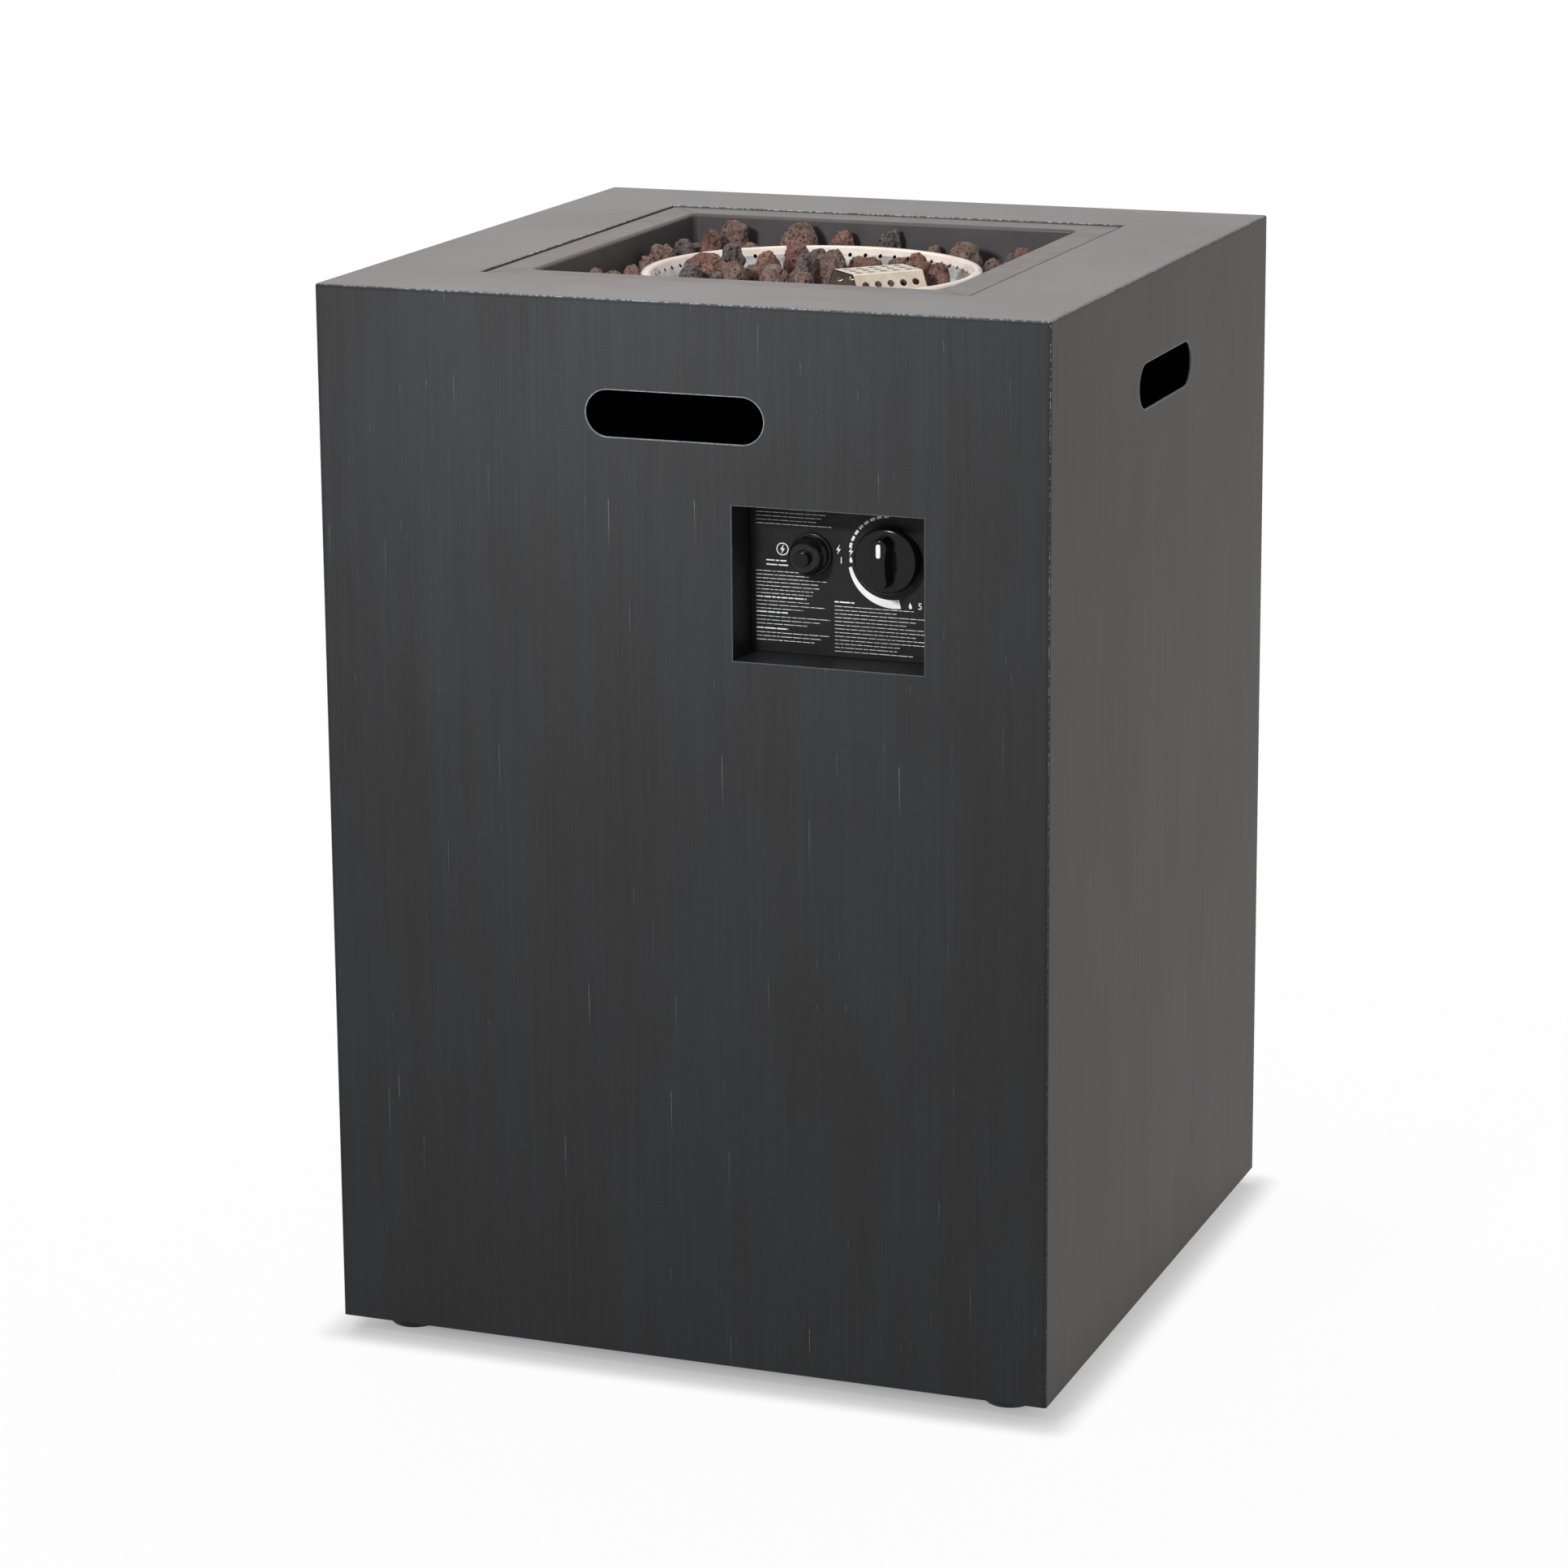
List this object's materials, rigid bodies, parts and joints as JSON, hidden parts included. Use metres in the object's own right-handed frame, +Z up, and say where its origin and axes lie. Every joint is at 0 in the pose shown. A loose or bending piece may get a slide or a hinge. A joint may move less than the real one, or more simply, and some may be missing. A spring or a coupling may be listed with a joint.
{
  "type": "propane fire pit",
  "caption": "Square freestanding sheet-metal gas fire pit with a round burner in lava rocks, a recessed control knob and a spark igniter.",
  "frame": {"origin": "centre of the footprint at floor level", "axes": "+Z up, -Y out of the side with the controls, +X to the right seen from that side"},
  "size_m": [0.495, 0.495, 0.712],
  "materials": {
    "body_paint": "satin charcoal paint with a brushed texture",
    "plate_paint": "satin black",
    "foot_rubber": "matt moulded rubber",
    "zinc_steel": "zinc plated",
    "tray_steel": "heat-resistant grey paint",
    "shield_steel": "plain stainless sheet",
    "ring_enamel": "stainless sheet, pale from heat",
    "mixer_iron": "as cast",
    "guard_steel": "stainless sheet, straw-coloured from heat",
    "fitting_brass": "turned",
    "valve_alloy": "die cast",
    "pipe_aluminium": "drawn tube",
    "rod_steel": "heat-resistant alloy",
    "insulator_ceramic": "white ceramic",
    "lead_rubber": "silicone jacket",
    "knob_black": "gloss black",
    "pointer_white": "white",
    "spring_steel": "spring steel",
    "battery_jacket": "plain jacket",
    "rock_red": "porous lava rock",
    "rock_brown": "porous lava rock",
    "rock_grey": "porous lava rock"
  },
  "bodies": {
    "root": {"air_mixer": "mixer_iron", "battery_spring": "spring_steel", "burner_base": "shield_steel", "burner_dish": "ring_enamel", "burner_inlet": "shield_steel", "burner_tray": "tray_steel", "control_housing": "body_paint", "control_plate": "plate_paint", "corner_angles": "body_paint", "feet": "foot_rubber", "flame_probe": "rod_steel", "foot_gussets": "body_paint", "foot_nuts": "zinc_steel", "foot_screws": "zinc_steel", "front_panel": "body_paint", "gas_pipe": "pipe_aluminium", "gas_valve": "valve_alloy", "guard_screws": "guard_steel", "heat_shield": "shield_steel", "housing_nuts": "zinc_steel", "housing_studs": "zinc_steel", "igniter_body": "knob_black", "igniter_guard": "guard_steel", "igniter_nut": "zinc_steel", "ignition_lead": "lead_rubber", "inlet_nut": "zinc_steel", "inlet_washer": "zinc_steel", "knob_spring": "spring_steel", "lava_rocks_brown": "rock_brown", "lava_rocks_grey": "rock_grey", "lava_rocks_red": "rock_red", "lead_boot": "lead_rubber", "left_panel": "body_paint", "orifice_fitting": "fitting_brass", "pipe_nuts": "fitting_brass", "probe_lead": "lead_rubber", "rear_panel": "body_paint", "right_panel": "body_paint", "sensor_sleeves": "shield_steel", "shield_bolts": "zinc_steel", "shield_nuts": "zinc_steel", "shield_spacers": "zinc_steel", "spark_insulator": "insulator_ceramic", "spark_rod": "rod_steel", "top_frame": "body_paint", "valve_bonnet": "fitting_brass", "valve_inlet": "fitting_brass", "valve_screws": "zinc_steel"},
    "knob_push": {"spring_seat": "zinc_steel"},
    "knob": {"valve_spindle": "fitting_brass", "control_knob": "knob_black", "knob_pointer": "pointer_white"},
    "battery": {"igniter_battery": "battery_jacket"},
    "igniter_cap": {"igniter_cap": "knob_black", "battery_contact": "spring_steel", "button_spring": "spring_steel"},
    "igniter_button": {"igniter_button": "knob_black"}
  },
  "joints": [
    {"name": "knob_push", "type": "slide", "parent": "root", "child": "knob_push", "axis": [0, 1, 0], "range_m": [0, 0.003], "stiffness_N_per_m": 700, "springref_m": -0.003, "deforming": ["knob_spring"]},
    {"name": "knob_turn", "type": "hinge", "parent": "knob_push", "child": "knob", "pos_m": [0.132, -0.2155, 0.551], "axis": [0, -1, 0], "range_deg": [0, 180]},
    {"name": "battery_slide", "type": "slide", "parent": "root", "child": "battery", "axis": [0, -1, 0], "range_m": [0, 0.0045], "deforming": ["battery_spring"]},
    {"name": "cap_turn", "type": "hinge", "parent": "battery", "child": "igniter_cap", "pos_m": [0.08, -0.2155, 0.551], "axis": [0, -1, 0], "range_deg": [0, 1085]},
    {"name": "button_push", "type": "slide", "parent": "igniter_cap", "child": "igniter_button", "axis": [0, 1, 0], "range_m": [0, 0.003], "stiffness_N_per_m": 500, "springref_m": -0.003, "deforming": ["button_spring"]}
  ],
  "couplings": [
    {"joint": "cap_turn", "follows": "battery_slide", "rad_per_m": 4188.8}
  ]
}
